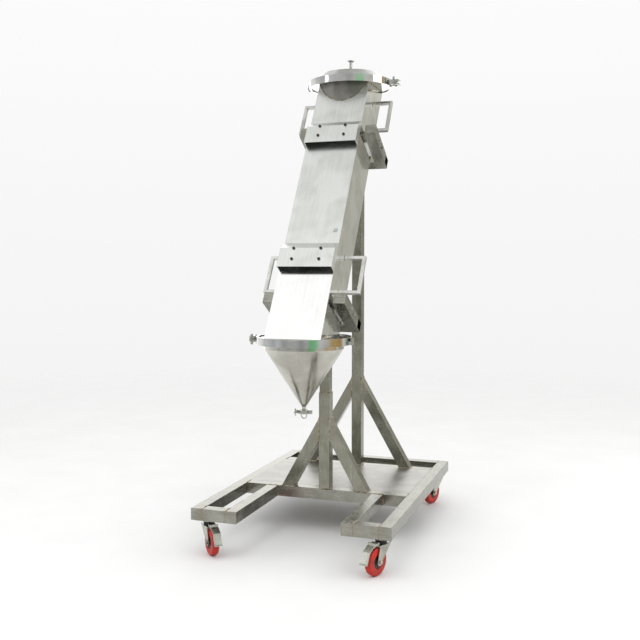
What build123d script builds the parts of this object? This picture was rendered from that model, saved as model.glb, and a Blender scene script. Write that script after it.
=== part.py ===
"""Mobile stainless-steel stand with an inclined, closed transfer chute.

Frame of the part: millimetres, +Z up, origin on the floor under the centre of
the wheeled base. The chute leans back, towards +Y, and the open notch of the
base is at the front, towards -Y.
"""

from build123d import *
from math import asin, atan, cos, degrees, hypot, radians, sin, tan
import os

os.makedirs("parts", exist_ok=True)

# ---------------------------------------------------------------- driving sizes
tube = 50.0                    # side of the square stand tube
tube_wall = 3.0
bar = 15.0                     # side of the solid square bar of the handle frames

base_width = 856.0
base_length = 1188.0
leg_width = 205.0              # one front leg, outside to outside
notch_depth = 462.0            # front of the legs to the front cross rail
rear_opening = 118.0           # gap between the deck's rear edge and the rear rail
deck_sheet = 3.0

front_post_height = 436.0      # base top to the splice collar
splice_step = 2.5              # the upper post is this much smaller on each side
front_brace_top = 321.0
front_brace_foot = 204.0
rear_brace_top = 442.0
rear_brace_foot = 277.0

chute_lean = 31.3              # degrees from the vertical
chute_length = 1339.0          # along the front face
chute_width = 242.0
chute_depth = 208.0
sheet = 3.0
foot_height = 906.5            # floor to the chute's foot, at its front face
foot_y = -537.0

flange_radius = 193.0
flange_thickness = 10.0
foot_setback = 142.0           # front face of the chute to the lower ring's axis
top_setback = 108.0            # front face of the chute to the upper ring's axis
seal_thickness = 3.0
clamp_gap = 1.0                # radial gap between flange rim and clamp band
clamp_band = 4.0
clamp_lip = 4.0                # thickness of the inward lips
clamp_grip = 5.5               # how far the lips reach inwards
clamp_clearance = 0.5          # lip to flange, each side
neck_radius = 160.0

hood_length = 135.0
hood_ramp = 45.0
hood_height = 34.0
lower_joint = 323.0            # foot to the lower panel joint, along the chute
upper_joint = 974.0
panel_gap = 4.0
screw_radius = 4.0
screw_pitch_x = 120.0
screw_pitch_s = 52.0
screw_row = 36.0               # first screw row above the hood's lip

frame_half_width = 217.0
frame_recess = 105.0           # handle frames, centre, behind the chute's face
lower_frame_gap = 33.0         # lower arm to the lower handle frame, along the chute
upper_frame_gap = 17.0
lower_frame_length = 184.0
upper_frame_length = 176.0

arm_start = 37.0               # front end of the arms, behind the chute's face
arm_length = 208.0
arm_gap = 9.0                  # chute's side to the arm, filled by the pads
ring_gap = 9.74                # lower outrigger to the clamp in front of it
upper_arm = 1063.0             # underside of the upper arms, along the chute
mounting_bolt_radius = 5.0
mounting_bolt_clearance = 0.5

hopper_neck = 22.0             # straight skirt under the hopper's flange
hopper_radius = 167.0
hopper_drop = 245.0
outlet_radius = 9.0
outlet_length = 22.0
outlet_flange_radius = 17.0

lid_shoulder_radius = 141.0
lid_crown_radius = 64.0
lid_shoulder_height = 50.0
lid_crown_height = 55.0
nozzle_foot_height = 84.0
nozzle_top_height = 118.0
nozzle_radius = 8.0

wheel_radius = 57.5
wheel_width = 30.0
tread_thickness = 28.0
tread_round = 9.0              # rounding of the tread's shoulders
caster_trail = 36.0
caster_inset = 56.0            # swivel axis from the base's outer faces
caster_plate = 92.0
fork_sheet = 4.0
wheel_headroom = 6.0           # wheel to the top of its fork
fork_head = 29.0               # top of the fork to the underside of the base
fork_gap = 3.0                 # wheel to fork, each side
axle_radius = 5.0
running_gap = 0.05             # radial clearance of the axle and pins

# ------------------------------------------------------- places worked out once
crown_top = 2 * wheel_radius + wheel_headroom
caster_height = crown_top + fork_head   # floor to the underside of the base
rail_top = caster_height + tube
half_width = base_width / 2
half_length = base_length / 2
front_cross_y = -half_length + notch_depth + tube / 2
rear_rail_y = half_length - tube / 2
mid_cross_y = rear_rail_y - tube - rear_opening
front_post_y = front_cross_y
rear_post_y = mid_cross_y
inner_rail_x = half_width - leg_width + tube / 2

lean_sin = sin(radians(chute_lean))
lean_cos = cos(radians(chute_lean))
chute_foot = (0, foot_y, foot_height)
# Sketches on chute_face have x across the chute and y up along it, and their
# normal points out of the front face. Sketches on chute_section look up the duct.
chute_face = Plane(origin=chute_foot, x_dir=(1, 0, 0), z_dir=(0, -lean_cos, lean_sin))
chute_side = Plane(origin=chute_foot, x_dir=(0, lean_sin, lean_cos), z_dir=(1, 0, 0))

top_height = foot_height + chute_length * lean_cos
top_y = foot_y + chute_length * lean_sin + top_setback
bottom_y = foot_y + foot_setback
half_stack = seal_thickness / 2 + flange_thickness
top_clamp_z = top_height + half_stack
bottom_clamp_z = foot_height - half_stack
duct_run = chute_depth / lean_cos    # depth of the duct in a level cut
band_inner = flange_radius + clamp_gap
band_outer = band_inner + clamp_band
band_height = 2 * (half_stack + clamp_clearance + clamp_lip)

# The lower arms sit as low as the outrigger behind them clears the lower clamp.
outrigger_front = arm_start + arm_length + tube
ring_rear = bottom_y + band_outer - foot_y
lower_arm = (ring_rear + ring_gap - outrigger_front * lean_cos) / lean_sin
lower_frame_start = lower_arm + tube + lower_frame_gap
upper_frame_start = upper_arm + tube + upper_frame_gap


def save(part, label):
    """Name a finished piece and write it to its own file."""
    part.label = label
    export_step(part, "parts/" + label + ".step")


def point_on_chute(along, behind):
    """Y and Z of a point at a distance up the chute and behind its front face."""
    y = foot_y + along * lean_sin + behind * lean_cos
    z = foot_height + along * lean_cos - behind * lean_sin
    return y, z


# --------------------------------------------------------------- wheeled base
def rail_y(start, end, x_list, label):
    """Square tubes along Y, one for each x, open at both ends."""
    with BuildPart() as rails:
        with BuildSketch(Plane.XZ.offset(-start)):
            with Locations(*[(x, caster_height + tube / 2) for x in x_list]):
                Rectangle(tube, tube)
                Rectangle(tube - 2 * tube_wall, tube - 2 * tube_wall, mode=Mode.SUBTRACT)
        extrude(amount=-(end - start))
    save(rails.part, label)


def rail_x(spans, y, label):
    """Square tubes along X, one for each (start, end) span."""
    with BuildPart() as rails:
        for start, end in spans:
            with BuildSketch(Plane.YZ.offset(start)):
                with Locations((y, caster_height + tube / 2)):
                    Rectangle(tube, tube)
                    Rectangle(tube - 2 * tube_wall, tube - 2 * tube_wall, mode=Mode.SUBTRACT)
            extrude(amount=end - start)
    save(rails.part, label)


outer_x = half_width - tube / 2
rail_front = -half_length + tube_wall        # the tubes' open ends are closed by caps
rail_rear = half_length - tube_wall
rail_y(rail_front, rail_rear, [-outer_x, outer_x], "outer_rails")
rail_y(rail_front, front_cross_y - tube / 2, [-inner_rail_x, inner_rail_x], "inner_rails")

toe_start = half_width - leg_width + tube
toe_end = half_width - tube
rail_x([(-toe_end, -toe_start), (toe_start, toe_end)], -half_length + tube / 2, "toe_bars")
rail_x([(-toe_end, toe_end)], front_cross_y, "front_cross_rail")
rail_x([(-toe_end, toe_end)], mid_cross_y, "mid_cross_rail")
rail_x([(-toe_end, toe_end)], rear_rail_y, "rear_cross_rail")

deck_start = front_cross_y + tube / 2
deck_end = mid_cross_y - tube / 2
with BuildPart() as deck:
    with BuildSketch(Plane.XY.offset(rail_top - deck_sheet)):
        with Locations((0, (deck_start + deck_end) / 2)):
            Rectangle(2 * toe_end, deck_end - deck_start)
    extrude(amount=deck_sheet)
save(deck.part, "deck_plate")

# ---------------------------------------------------------------- stand posts
arm_plane_low = Plane(origin=chute_foot, x_dir=(1, 0, 0), z_dir=(0, lean_sin, lean_cos)).offset(lower_arm)
arm_plane_high = Plane(origin=chute_foot, x_dir=(1, 0, 0), z_dir=(0, lean_sin, lean_cos)).offset(upper_arm)


def post(bottom, y, side, cut_plane, label):
    """Upright square tube from bottom to the slanting underside of an outrigger."""
    with BuildPart() as upright:
        with BuildSketch(Plane.XY.offset(bottom)):
            with Locations((0, y)):
                Rectangle(side, side)
                Rectangle(side - 2 * tube_wall, side - 2 * tube_wall, mode=Mode.SUBTRACT)
        extrude(amount=2 * top_height)
        split(bisect_by=cut_plane, keep=Keep.BOTTOM)
    save(upright.part, label)


splice_height = rail_top + front_post_height
with BuildPart() as front_post:
    with BuildSketch(Plane.XY.offset(rail_top)):
        with Locations((0, front_post_y)):
            Rectangle(tube, tube)
            Rectangle(tube - 2 * tube_wall, tube - 2 * tube_wall, mode=Mode.SUBTRACT)
    extrude(amount=front_post_height)
save(front_post.part, "front_post")
post(splice_height, front_post_y, tube - 2 * splice_step, arm_plane_low, "front_post_extension")
post(rail_top, rear_post_y, tube, arm_plane_high, "rear_post")


def brace_outline(side, foot, top, inset):
    """Parallelogram of a slanting brace in the XZ plane, side is -1 or +1."""
    run = foot - tube / 2
    slope = hypot(run, top)
    foot_width = tube * slope / top
    head_height = tube * slope / run
    foot_inset = inset * slope / top
    head_inset = inset * slope / run
    outer_foot = (side * (foot - foot_inset), rail_top)
    inner_foot = (side * (foot - foot_width + foot_inset), rail_top)
    outer_head = (side * tube / 2, rail_top + top - head_inset)
    inner_head = (side * tube / 2, rail_top + top - head_height + head_inset)
    return [outer_foot, inner_foot, inner_head, outer_head]


with BuildPart() as braces:
    for y, foot, top in ((front_post_y, front_brace_foot, front_brace_top),
                         (rear_post_y, rear_brace_foot, rear_brace_top)):
        for side in (-1, 1):
            with BuildSketch(Plane.XZ.offset(-y)):
                Polygon(*brace_outline(side, foot, top, 0), align=None)
            extrude(amount=tube / 2, both=True)
    for y, foot, top in ((front_post_y, front_brace_foot, front_brace_top),
                         (rear_post_y, rear_brace_foot, rear_brace_top)):
        for side in (-1, 1):
            with BuildSketch(Plane.XZ.offset(-y)):
                Polygon(*brace_outline(side, foot, top, tube_wall), align=None)
            extrude(amount=tube / 2 - tube_wall, both=True, mode=Mode.SUBTRACT)
save(braces.part, "post_braces")

# -------------------------------------------- arms that carry the chute
arm_x = chute_width / 2 + arm_gap + tube / 2
arm_end = arm_start + arm_length
bolt_row = arm_end - 1.4 * tube
pad_length = 2 * tube

with BuildPart() as arms:
    for along in (lower_arm, upper_arm):
        with BuildSketch(chute_face.offset(-arm_start)):
            with Locations((-arm_x, along + tube / 2), (arm_x, along + tube / 2)):
                Rectangle(tube, tube)
                Rectangle(tube - 2 * tube_wall, tube - 2 * tube_wall, mode=Mode.SUBTRACT)
        extrude(amount=-arm_length)
    for along in (lower_arm, upper_arm):
        with BuildSketch(chute_side):
            with Locations((along + tube / 2, -bolt_row), (along + tube / 2, tube - bolt_row)):
                Circle(mounting_bolt_radius + mounting_bolt_clearance)
        extrude(amount=half_width, both=True, mode=Mode.SUBTRACT)
save(arms.part, "support_arms")

rail_height = caster_height + tube / 2
with BuildPart() as end_caps:
    with BuildSketch(Plane.XZ.offset(half_length)):
        for x in (outer_x, inner_rail_x):
            with Locations((-x, rail_height), (x, rail_height)):
                Rectangle(tube, tube)
    extrude(amount=-tube_wall)
    with BuildSketch(Plane.XZ.offset(-half_length)):
        with Locations((-outer_x, rail_height), (outer_x, rail_height)):
            Rectangle(tube, tube)
    extrude(amount=tube_wall)
    for along in (lower_arm, upper_arm):
        with BuildSketch(chute_face.offset(-arm_start)):
            with Locations((-arm_x, along + tube / 2), (arm_x, along + tube / 2)):
                RectangleRounded(tube, tube, tube_wall)
        extrude(amount=tube_wall)
save(end_caps.part, "tube_end_caps")

with BuildPart() as cross_tubes:
    for along in (lower_arm, upper_arm):
        with BuildSketch(Plane.YZ.offset(-arm_x - tube / 2)):
            with BuildLine():
                corners = [(along, arm_end), (along + tube, arm_end),
                           (along + tube, arm_end + tube), (along, arm_end + tube)]
                Polyline(*[point_on_chute(*c) for c in corners], close=True)
            make_face()
        extrude(amount=2 * arm_x + tube)
    for along in (lower_arm, upper_arm):
        with BuildSketch(Plane.YZ.offset(-arm_x - tube / 2)):
            with BuildLine():
                low, high = along + tube_wall, along + tube - tube_wall
                near, far = arm_end + tube_wall, arm_end + tube - tube_wall
                corners = [(low, near), (high, near), (high, far), (low, far)]
                Polyline(*[point_on_chute(*c) for c in corners], close=True)
            make_face()
        extrude(amount=2 * arm_x + tube, mode=Mode.SUBTRACT)
save(cross_tubes.part, "cross_tubes")



def outrigger_outline(along, end_y, inset):
    """Side outline of a slanting tube from a cross tube to a post, cut upright at end_y."""
    fall = tan(radians(chute_lean))
    near = arm_end + tube
    low_y, low_z = point_on_chute(along + inset, near)
    high_y, high_z = point_on_chute(along + tube - inset, near)
    return [(low_y, low_z), (high_y, high_z),
            (end_y, high_z - (end_y - high_y) * fall), (end_y, low_z - (end_y - low_y) * fall)]


outrigger_ends = [(lower_arm, front_post_y + tube / 2), (upper_arm, rear_post_y + tube / 2)]
with BuildPart() as outriggers:
    with BuildSketch(Plane.YZ):
        for along, end_y in outrigger_ends:
            Polygon(*outrigger_outline(along, end_y, 0), align=None)
    extrude(amount=tube / 2, both=True)
    with BuildSketch(Plane.YZ):
        for along, end_y in outrigger_ends:
            Polygon(*outrigger_outline(along, end_y - tube_wall, tube_wall), align=None)
    extrude(amount=tube / 2 - tube_wall, both=True, mode=Mode.SUBTRACT)
save(outriggers.part, "outriggers")

# ----------------------------------------------------------------- chute
level_foot = Plane.XY.offset(foot_height)
level_top = Plane.XY.offset(top_height)
over_length = chute_length + chute_depth
inner_width = chute_width - 2 * sheet


def trim_ends():
    """Cut the current part level with the two flanges."""
    split(bisect_by=level_foot, keep=Keep.TOP)
    split(bisect_by=level_top, keep=Keep.BOTTOM)


pad_spots = []
for along in (lower_arm, upper_arm):
    pad_spots += [(along + tube / 2, -bolt_row), (along + tube / 2, tube - bolt_row)]

with BuildPart() as channel:
    with BuildSketch(chute_face.offset(-sheet)):
        with Locations((0, chute_length / 2)):
            Rectangle(chute_width, 2 * over_length)
    extrude(amount=-(chute_depth - sheet))
    with BuildSketch(chute_face.offset(-sheet)):
        with Locations((0, chute_length / 2)):
            Rectangle(inner_width, 2 * over_length)
    extrude(amount=-(chute_depth - 2 * sheet), mode=Mode.SUBTRACT)
    trim_ends()
    with BuildSketch(chute_side):
        with Locations(*pad_spots):
            Circle(mounting_bolt_radius + mounting_bolt_clearance)
    extrude(amount=chute_width, both=True, mode=Mode.SUBTRACT)
save(channel.part, "chute_channel")

lower_split = lower_joint + hood_length / 2
upper_split = upper_joint + hood_length / 2
screw_spots = []
for joint in (lower_joint, upper_joint):
    for row in (0, 1):
        for side in (-1, 1):
            screw_spots.append((side * screw_pitch_x / 2, joint + screw_row + row * screw_pitch_s))


def panel(start, end, label, neck_opening=False):
    """Flat front panel between two places along the chute, trimmed level at the flanges."""
    with BuildPart() as front:
        with BuildSketch(chute_face.offset(-sheet)):
            with Locations((0, (start + end) / 2)):
                Rectangle(chute_width, end - start)
        extrude(amount=sheet)
        trim_ends()
        holes = [spot for spot in screw_spots if start < spot[1] < end]
        if holes:
            with BuildSketch(chute_face.offset(-sheet)):
                with Locations(*holes):
                    Circle(screw_radius)
            extrude(amount=sheet, mode=Mode.SUBTRACT)
        if neck_opening:
            with BuildSketch(Plane.XY.offset(foot_height)):
                with Locations((0, top_y)):
                    Circle(neck_radius)
            extrude(amount=top_height, mode=Mode.SUBTRACT)
    save(front.part, label)


panel(-over_length, lower_split - panel_gap / 2, "lower_front_panel")
panel(lower_split + panel_gap / 2, upper_split - panel_gap / 2, "middle_front_panel")
panel(upper_split + panel_gap / 2, chute_length + over_length, "upper_front_panel", True)


def hood_profile(joint, inset):
    """Side outline of a joint hood: open at its lip, ramped at its upper end."""
    slant = inset * (hypot(hood_height, hood_ramp) - hood_ramp) / hood_height
    height = hood_height - inset
    ramp_start = joint + hood_length - hood_ramp - slant
    ramp_end = ramp_start + height * hood_ramp / hood_height
    lip = joint - (1 if inset else 0)
    return [(lip, 0), (lip, height), (ramp_start, height), (ramp_end, 0)]


with BuildPart() as hoods:
    for joint in (lower_joint, upper_joint):
        with BuildSketch(chute_side.offset(-chute_width / 2)):
            Polygon(*hood_profile(joint, 0), align=None)
        extrude(amount=chute_width)
    for joint in (lower_joint, upper_joint):
        with BuildSketch(chute_side.offset(-inner_width / 2)):
            Polygon(*hood_profile(joint, sheet), align=None)
        extrude(amount=inner_width, mode=Mode.SUBTRACT)
    with BuildSketch(chute_face.offset(hood_height)):
        with Locations(*screw_spots):
            Circle(screw_radius)
    extrude(amount=-hood_height, mode=Mode.SUBTRACT)
save(hoods.part, "joint_hoods")

screw_head_radius = 1.6 * screw_radius
screw_head_height = screw_radius
with BuildPart() as screws:
    with BuildSketch(chute_face.offset(-2 * sheet)):
        with Locations(*screw_spots):
            Circle(screw_radius)
    extrude(amount=hood_height + 2 * sheet)
    with BuildSketch(chute_face.offset(hood_height)):
        with Locations(*screw_spots):
            Circle(screw_head_radius)
    extrude(amount=screw_head_height)
    with BuildSketch(chute_face.offset(hood_height + screw_head_height)):
        with Locations(*screw_spots):
            RegularPolygon(screw_radius * 0.6, 6)
    extrude(amount=-screw_head_height * 0.6, mode=Mode.SUBTRACT)
save(screws.part, "hood_screws")

tag_size = 18.0
tag_x = chute_width / 2 - 26.0
tag_along = lower_joint + hood_length + 64.0
with BuildPart() as tag:
    with BuildSketch(chute_face):
        with Locations((tag_x, tag_along)):
            RectangleRounded(tag_size, tag_size, 2)
    extrude(amount=2)
    with BuildSketch(chute_face.offset(2)):
        with Locations((tag_x, tag_along)):
            Circle(screw_radius)
    extrude(amount=1.5)
save(tag.part, "tag_plate")

# ------------------------------------------------- handle frames at each side
with BuildPart() as handle_frames:
    for start, length in ((lower_frame_start, lower_frame_length),
                          (upper_frame_start, upper_frame_length)):
        for side in (-1, 1):
            inner = chute_width / 2
            reach = frame_half_width - inner
            with BuildSketch(chute_face.offset(-frame_recess - bar / 2)):
                with Locations((side * (inner + reach / 2), start + length / 2)):
                    Rectangle(reach, length)
                with Locations((side * (inner + (reach - bar) / 2), start + length / 2)):
                    Rectangle(reach - bar, length - 2 * bar, mode=Mode.SUBTRACT)
            extrude(amount=bar)
save(handle_frames.part, "handle_frames")

with BuildPart() as pads:
    for along in (lower_arm, upper_arm):
        for side in (-1, 1):
            edge = chute_width / 2 if side > 0 else -chute_width / 2 - arm_gap
            with BuildSketch(chute_side.offset(edge)):
                with Locations((along + tube / 2, tube / 2 - bolt_row)):
                    Rectangle(tube - 2 * tube_wall, pad_length)
                with Locations(*[spot for spot in pad_spots if abs(spot[0] - along) < tube]):
                    Circle(mounting_bolt_radius + mounting_bolt_clearance, mode=Mode.SUBTRACT)
            extrude(amount=arm_gap)
save(pads.part, "mounting_pads")

bolt_head_radius = 1.8 * mounting_bolt_radius
bolt_head_height = 6.5
arm_outer_x = arm_x + tube / 2
with BuildPart() as mounting_bolts:
    for side in (-1, 1):
        shank_start = side * (chute_width / 2 - sheet)
        with BuildSketch(chute_side.offset(shank_start)):
            with Locations(*pad_spots):
                Circle(mounting_bolt_radius)
        extrude(amount=side * (arm_outer_x - chute_width / 2 + sheet))
        with BuildSketch(chute_side.offset(side * arm_outer_x)):
            with Locations(*pad_spots):
                RegularPolygon(bolt_head_radius, 6)
        extrude(amount=side * bolt_head_height)
        with BuildSketch(chute_side.offset(shank_start)):
            with Locations(*pad_spots):
                Circle(bolt_head_radius)
        extrude(amount=-side * bolt_head_height / 2)
save(mounting_bolts.part, "mounting_bolts")

# ---------------------------------------------- flanges, upper neck and seals
duct_mid_top = foot_y + chute_length * lean_sin + duct_run / 2
duct_mid_foot = foot_y + duct_run / 2
inner_run = duct_run - 2 * sheet / lean_cos

with BuildPart() as top_flange:
    with BuildSketch(level_top):
        with Locations((0, top_y)):
            Circle(flange_radius)
    extrude(amount=flange_thickness)
    with BuildSketch(level_top):
        with Locations((0, top_y)):
            Circle(neck_radius - sheet)
        with Locations((0, duct_mid_top - duct_run + sheet / lean_cos)):
            Rectangle(inner_width, duct_run, mode=Mode.INTERSECT)
        with Locations((0, duct_mid_top)):
            Rectangle(inner_width, inner_run)
    extrude(amount=flange_thickness, mode=Mode.SUBTRACT)
save(top_flange.part, "top_flange")

with BuildPart() as neck:
    with BuildSketch(Plane.XY.offset(foot_height)):
        with Locations((0, top_y)):
            Circle(neck_radius)
            Circle(neck_radius - sheet, mode=Mode.SUBTRACT)
    extrude(amount=top_height - foot_height)
    split(bisect_by=chute_face.offset(-sheet), keep=Keep.TOP)
save(neck.part, "top_neck")

with BuildPart() as bottom_flange:
    with BuildSketch(Plane.XY.offset(foot_height - flange_thickness)):
        with Locations((0, bottom_y)):
            Circle(flange_radius)
        with Locations((0, duct_mid_foot)):
            Rectangle(inner_width, inner_run, mode=Mode.SUBTRACT)
    extrude(amount=flange_thickness)
save(bottom_flange.part, "bottom_flange")

seal_width = 12.0
with BuildPart() as seals:
    for y, z in ((top_y, top_clamp_z), (bottom_y, bottom_clamp_z)):
        with BuildSketch(Plane.XY.offset(z - seal_thickness / 2)):
            with Locations((0, y)):
                Circle(flange_radius)
                Circle(flange_radius - seal_width, mode=Mode.SUBTRACT)
        extrude(amount=seal_thickness)
save(seals.part, "seal_rings")

# ------------------------------------------------------------------- lid
lid_axis = Plane(origin=(0, top_y, top_clamp_z), x_dir=(1, 0, 0), z_dir=(0, -1, 0))
rim_height = half_stack
rim_foot = flange_radius - clamp_grip - 4.0
nozzle_flange_radius = 17.0
nozzle_flange_height = 5.0
nozzle_wall = 2.0
with BuildPart() as lid:
    with BuildSketch(lid_axis):
        with BuildLine():
            Polyline((nozzle_radius, nozzle_foot_height), (lid_crown_radius, lid_crown_height),
                     (lid_shoulder_radius, lid_shoulder_height), (rim_foot, rim_height),
                     (flange_radius, rim_height), (flange_radius, seal_thickness / 2),
                     (rim_foot - sheet, seal_thickness / 2),
                     (lid_shoulder_radius - sheet / 2, lid_shoulder_height - sheet),
                     (lid_crown_radius, lid_crown_height - sheet),
                     (nozzle_radius - nozzle_wall, nozzle_foot_height - sheet),
                     (nozzle_radius - nozzle_wall, nozzle_top_height),
                     (nozzle_flange_radius, nozzle_top_height),
                     (nozzle_flange_radius, nozzle_top_height - nozzle_flange_height),
                     (nozzle_radius, nozzle_top_height - nozzle_flange_height - 4),
                     close=True)
        make_face()
    revolve(axis=Axis((0, top_y, 0), (0, 0, 1)))
save(lid.part, "lid")

# -------------------------------------------------------- hopper and outlet
skirt_end = flange_thickness + seal_thickness / 2 + hopper_neck
outlet_start = skirt_end + hopper_drop
outlet_end = outlet_start + outlet_length
hopper_axis = Plane(origin=(0, bottom_y, bottom_clamp_z), x_dir=(1, 0, 0), z_dir=(0, -1, 0))
with BuildPart() as hopper:
    with BuildSketch(hopper_axis):
        with BuildLine():
            Polyline((flange_radius, -seal_thickness / 2), (flange_radius, -half_stack),
                     (hopper_radius, -half_stack), (hopper_radius, -skirt_end),
                     (outlet_radius, -outlet_start),
                     (outlet_radius, -outlet_end + 6), (outlet_flange_radius, -outlet_end + 4),
                     (outlet_flange_radius, -outlet_end),
                     (outlet_radius - nozzle_wall, -outlet_end),
                     (outlet_radius - nozzle_wall, -outlet_start + sheet),
                     (hopper_radius - sheet, -skirt_end + sheet),
                     (hopper_radius - sheet, -seal_thickness / 2), close=True)
        make_face()
    revolve(axis=Axis((0, bottom_y, 0), (0, 0, 1)))
save(hopper.part, "hopper_cone")

outlet_z = bottom_clamp_z - outlet_end
cap_thickness = 4.0
pull_ring_radius = 12.0
pull_ring_wire = 4.0
with BuildPart() as outlet_cap:
    with BuildSketch(Plane.XY.offset(outlet_z - cap_thickness)):
        with Locations((0, bottom_y)):
            Circle(outlet_flange_radius)
    extrude(amount=cap_thickness)
    ring_centre = (0, bottom_y, outlet_z - cap_thickness - pull_ring_radius)
    with BuildSketch(Plane.XY.offset(ring_centre[2])):
        with Locations((pull_ring_radius, bottom_y)):
            Circle(pull_ring_wire / 2)
    revolve(axis=Axis(ring_centre, (0, 1, 0)))
save(outlet_cap.part, "outlet_cap")

outlet_band = 5.0
outlet_half = 8.0
outlet_lug = 12.0
outlet_gap = 2.0
outlet_bolt_radius = 2.5
outlet_outer = outlet_flange_radius + 1 + outlet_band
outlet_mid = outlet_z
outlet_bolt_x = outlet_outer + outlet_lug / 2
with BuildPart() as outlet_clamp:
    with BuildSketch(Plane.XY.offset(outlet_mid - outlet_half)):
        with Locations((0, bottom_y)):
            Circle(outlet_outer)
            Rectangle(2 * outlet_outer + 2 * outlet_lug, 14)
    extrude(amount=2 * outlet_half)
    with BuildSketch(Plane.XY.offset(outlet_mid - outlet_half)):
        with Locations((0, bottom_y)):
            Circle(outlet_flange_radius + 1)
    extrude(amount=2 * outlet_half, mode=Mode.SUBTRACT)
    with BuildSketch(Plane.XY.offset(outlet_mid - outlet_half)):
        with Locations((0, bottom_y)):
            Rectangle(4 * outlet_outer, outlet_gap)
    extrude(amount=2 * outlet_half, mode=Mode.SUBTRACT)
    with BuildSketch(Plane.XZ.offset(-bottom_y)):
        with Locations((-outlet_bolt_x, outlet_mid), (outlet_bolt_x, outlet_mid)):
            Circle(outlet_bolt_radius + running_gap)
    extrude(amount=outlet_outer, both=True, mode=Mode.SUBTRACT)
save(outlet_clamp.part, "outlet_clamp")

outlet_lug_face = 7.0
outlet_head = 4.0
outlet_wing = 5.0              # half the length of a wing, along the bolt
outlet_wing_span = 13.0
outlet_wing_gap = 1.6          # wings to the clamp's body as they pass it
nut_standoff = 1.0
# The wing tips sweep past the clamp's round body here, measured from its axis.
sweep_x = outlet_bolt_x - outlet_wing_span - 3
body_front = (outlet_outer ** 2 - sweep_x ** 2) ** 0.5
outlet_nut_length = (body_front + outlet_wing_gap + outlet_wing - outlet_lug_face - nut_standoff) / 0.8
outlet_bolt_reach = outlet_lug_face + nut_standoff + outlet_nut_length + 4.0
with BuildPart() as outlet_bolts:
    with BuildSketch(Plane.XZ.offset(-bottom_y - outlet_lug_face - outlet_head)):
        with Locations((-outlet_bolt_x, outlet_mid), (outlet_bolt_x, outlet_mid)):
            Circle(2 * outlet_bolt_radius)
    extrude(amount=outlet_head)
    with BuildSketch(Plane.XZ.offset(-bottom_y - outlet_lug_face)):
        with Locations((-outlet_bolt_x, outlet_mid)):
            Circle(outlet_bolt_radius)
    extrude(amount=outlet_lug_face + outlet_bolt_reach)
    with BuildSketch(Plane.XZ.offset(-bottom_y - outlet_lug_face)):
        with Locations((outlet_bolt_x, outlet_mid)):
            Circle(outlet_bolt_radius)
    extrude(amount=2 * outlet_lug_face + outlet_head)
    with BuildSketch(Plane.XZ.offset(-bottom_y + outlet_lug_face)):
        with Locations((outlet_bolt_x, outlet_mid)):
            Circle(2 * outlet_bolt_radius)
    extrude(amount=outlet_head)
save(outlet_bolts.part, "outlet_bolts")


# ------------------------------------------------------ wing nuts and clamps
def wing_nut(centre, bore, hub, length, span, wing, label):
    """Wing nut whose seat is at centre and whose hub runs forward, along -Y.

    The wings reach span from the hub's axis and are twice wing long, along the hub.
    """
    with BuildPart() as nut:
        with BuildSketch(Plane.XZ.offset(-centre[1])):
            with Locations((centre[0], centre[2])):
                Circle(hub)
        extrude(amount=length)
        with BuildSketch(Plane.YZ.offset(centre[0])):
            for side in (-1, 1):
                with Locations((centre[1] - length * 0.8, centre[2] + side * (hub + span) / 2)):
                    Ellipse(wing, (span - hub) / 2 + 3)
        extrude(amount=hub * 0.3, both=True)
        with BuildSketch(Plane.XZ.offset(-centre[1])):
            with Locations((centre[0], centre[2])):
                Circle(bore + running_gap)
        extrude(amount=3 * length, both=True, mode=Mode.SUBTRACT)
    save(nut.part, label)


outlet_seat_y = bottom_y - outlet_lug_face - nut_standoff
# The nut is long, so that its wings turn in front of the clamp's round body.
wing_nut((-outlet_bolt_x, outlet_seat_y, outlet_mid), outlet_bolt_radius, 5.5, outlet_nut_length,
         outlet_wing_span, outlet_wing, "outlet_wing_nut")

lug_reach = 44.0               # how far the bolt lugs stand out of the band
lug_width = 16.0
lug_height = 24.0
lug_gap = 12.0                 # between the two lugs of a clamp
clamp_bolt_radius = 5.0
clamp_bolt_reach = 22.0        # bolt axis to the outside of the band
slot_clearance = 0.6
eye_radius = 10.0
eye_height = 12.0
eye_pin_radius = 3.0
nut_hub = 10.0
nut_length = 16.0
nut_span = 20.0
nut_wing = 8.8
hinge_offset = 10.0
hinge_radius = 8.0
hinge_pin_radius = 3.5
hinge_play = 0.3

eye_y = lug_gap / 2 + lug_width / 2
seat_distance = eye_y + lug_gap / 2 + lug_width + nut_standoff
bolt_axis_x = band_outer + clamp_bolt_reach
hinge_x = band_outer + hinge_offset


def band_sketch(centre_y, front):
    """Half disc that keeps the front or the rear half of a ring, short of the split line."""
    side = -1 if front else 1
    with Locations((0, centre_y + side * (band_outer / 2 + lug_gap / 2))):
        Rectangle(3 * band_outer, band_outer, mode=Mode.INTERSECT)


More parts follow.
